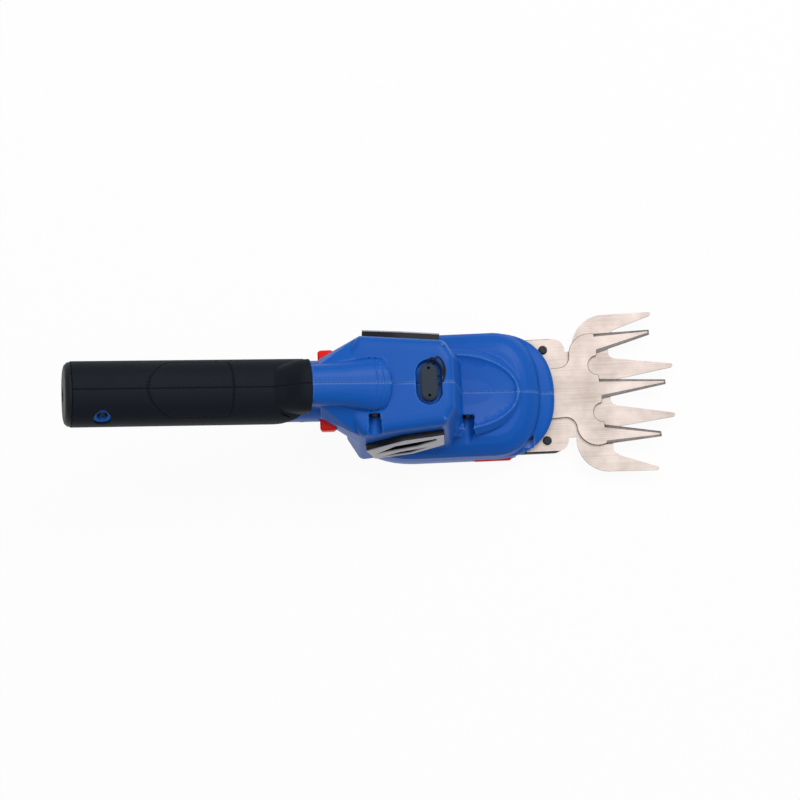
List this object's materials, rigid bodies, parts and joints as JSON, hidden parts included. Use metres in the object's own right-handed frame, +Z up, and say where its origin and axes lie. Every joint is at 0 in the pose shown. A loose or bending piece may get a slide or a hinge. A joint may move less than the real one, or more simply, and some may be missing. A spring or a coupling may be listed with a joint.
{
  "type": "cordless grass shears",
  "caption": "Cordless grass shears: sloping soft-grip handle, motor tower over a rounded gear case, and a toothed blade that a crank swings across a fixed comb.",
  "frame": {"origin": "on the floor plane of the sole, under the middle of the whole length", "axes": "+X towards the blade tips, +Y to the user's left, +Z up"},
  "size_m": [0.3724, 0.0998, 0.1199],
  "materials": {
    "blue_abs": "satin moulded ABS, blue",
    "black_tpe": "soft moulded elastomer, black",
    "black_abs": "fine-grained ABS, black",
    "plug_rubber": "firm rubber, dark grey",
    "silver_trim": "silver-grey painted plastic",
    "red_abs": "moulded ABS, red",
    "blade_steel": "ground blade steel",
    "bolt_steel": "turned steel",
    "screw_black": "blackened steel",
    "gear_pom": "natural acetal",
    "brass": "turned brass",
    "motor_shell": "plated motor can",
    "cell_wrap": "shrink-wrapped cell",
    "nickel": "nickel strip",
    "board_green": "green circuit board",
    "spring_steel": "spring wire",
    "cord_black": "braided nylon cord"
  },
  "bodies": {
    "housing": {"housing_left": "blue_abs", "housing_right": "blue_abs", "grip_left": "black_tpe", "grip_right": "black_tpe", "rear_cap": "black_abs", "sole_plate": "black_abs", "sole_screws": "screw_black", "housing_screws": "screw_black", "vent_insert_left": "black_abs", "vent_insert_right": "black_abs", "vent_trim_left": "silver_trim", "vent_trim_right": "silver_trim", "plug_socket": "black_abs", "motor_can": "motor_shell", "motor_endbell": "black_abs", "gear_plate": "bolt_steel", "gear_axles": "bolt_steel", "battery_cells": "cell_wrap", "cell_straps": "nickel", "control_board": "board_green", "charge_jack": "black_abs", "trigger_switch": "black_abs", "trigger_pin": "bolt_steel", "trigger_spring": "spring_steel", "release_spring_left": "spring_steel", "release_spring_right": "spring_steel", "comb_blade": "blade_steel", "blade_carrier": "black_abs", "comb_screws": "screw_black", "pivot_bolt": "bolt_steel", "pivot_nut": "bolt_steel"},
    "blade": {"moving_blade": "blade_steel"},
    "crank": {"drive_gear": "gear_pom", "cam_bush": "brass"},
    "step_gear": {"compound_gear": "gear_pom"},
    "rotor": {"motor_shaft": "bolt_steel", "motor_pinion": "brass"},
    "trigger": {"trigger": "black_abs"},
    "plunger": {"switch_plunger": "red_abs"},
    "lock": {"lock_button": "red_abs"},
    "left_release": {"release_left": "red_abs"},
    "right_release": {"release_right": "red_abs"},
    "plug": {"plug_cap": "plug_rubber", "plug_pins": "brass", "pull_cord": "cord_black"}
  },
  "joints": [
    {"name": "blade_swing", "type": "hinge", "parent": "housing", "child": "blade", "pos_m": [0.10037, 0, 0.0101], "axis": [0, 0, 1], "range_deg": [-13.7, 6.3]},
    {"name": "crank_spin", "type": "hinge", "parent": "housing", "child": "crank", "pos_m": [0.07137, 0, 0.015], "axis": [0, 0, 1], "continuous": true},
    {"name": "step_spin", "type": "hinge", "parent": "housing", "child": "step_gear", "pos_m": [0.04737, 0, 0.018], "axis": [0, 0, 1], "continuous": true},
    {"name": "rotor_spin", "type": "hinge", "parent": "housing", "child": "rotor", "pos_m": [0.02737, 0, 0.02], "axis": [0, 0, 1], "continuous": true},
    {"name": "trigger_pull", "type": "hinge", "parent": "housing", "child": "trigger", "pos_m": [-0.05129, 0, 0.05636], "axis": [0, 1, 0], "range_deg": [0, 4.5], "stiffness_Nm_per_rad": 0.5, "deforming": ["trigger_spring"]},
    {"name": "plunger_press", "type": "slide", "parent": "housing", "child": "plunger", "axis": [0.2079, 0, 0.9781], "range_m": [0, 0.0017]},
    {"name": "lock_push", "type": "slide", "parent": "housing", "child": "lock", "axis": [0, 1, 0], "range_m": [-0.004, 0.004], "stiffness_N_per_m": 150},
    {"name": "left_release_press", "type": "slide", "parent": "housing", "child": "left_release", "axis": [0, -1, 0], "range_m": [0, 0.003], "stiffness_N_per_m": 300, "deforming": ["release_spring_left"]},
    {"name": "right_release_press", "type": "slide", "parent": "housing", "child": "right_release", "axis": [0, 1, 0], "range_m": [0, 0.003], "stiffness_N_per_m": 300, "deforming": ["release_spring_right"]},
    {"name": "plug_pull", "type": "slide", "parent": "housing", "child": "plug", "axis": [0, 0, 1], "range_m": [0, 0.012]}
  ],
  "couplings": [
    {"joint": "crank_spin", "follows": "blade_swing", "ratio": 8.47},
    {"joint": "step_spin", "follows": "blade_swing", "ratio": -25.41},
    {"joint": "rotor_spin", "follows": "blade_swing", "ratio": 101.64},
    {"joint": "plunger_press", "follows": "trigger_pull", "m_per_rad": 0.018}
  ]
}
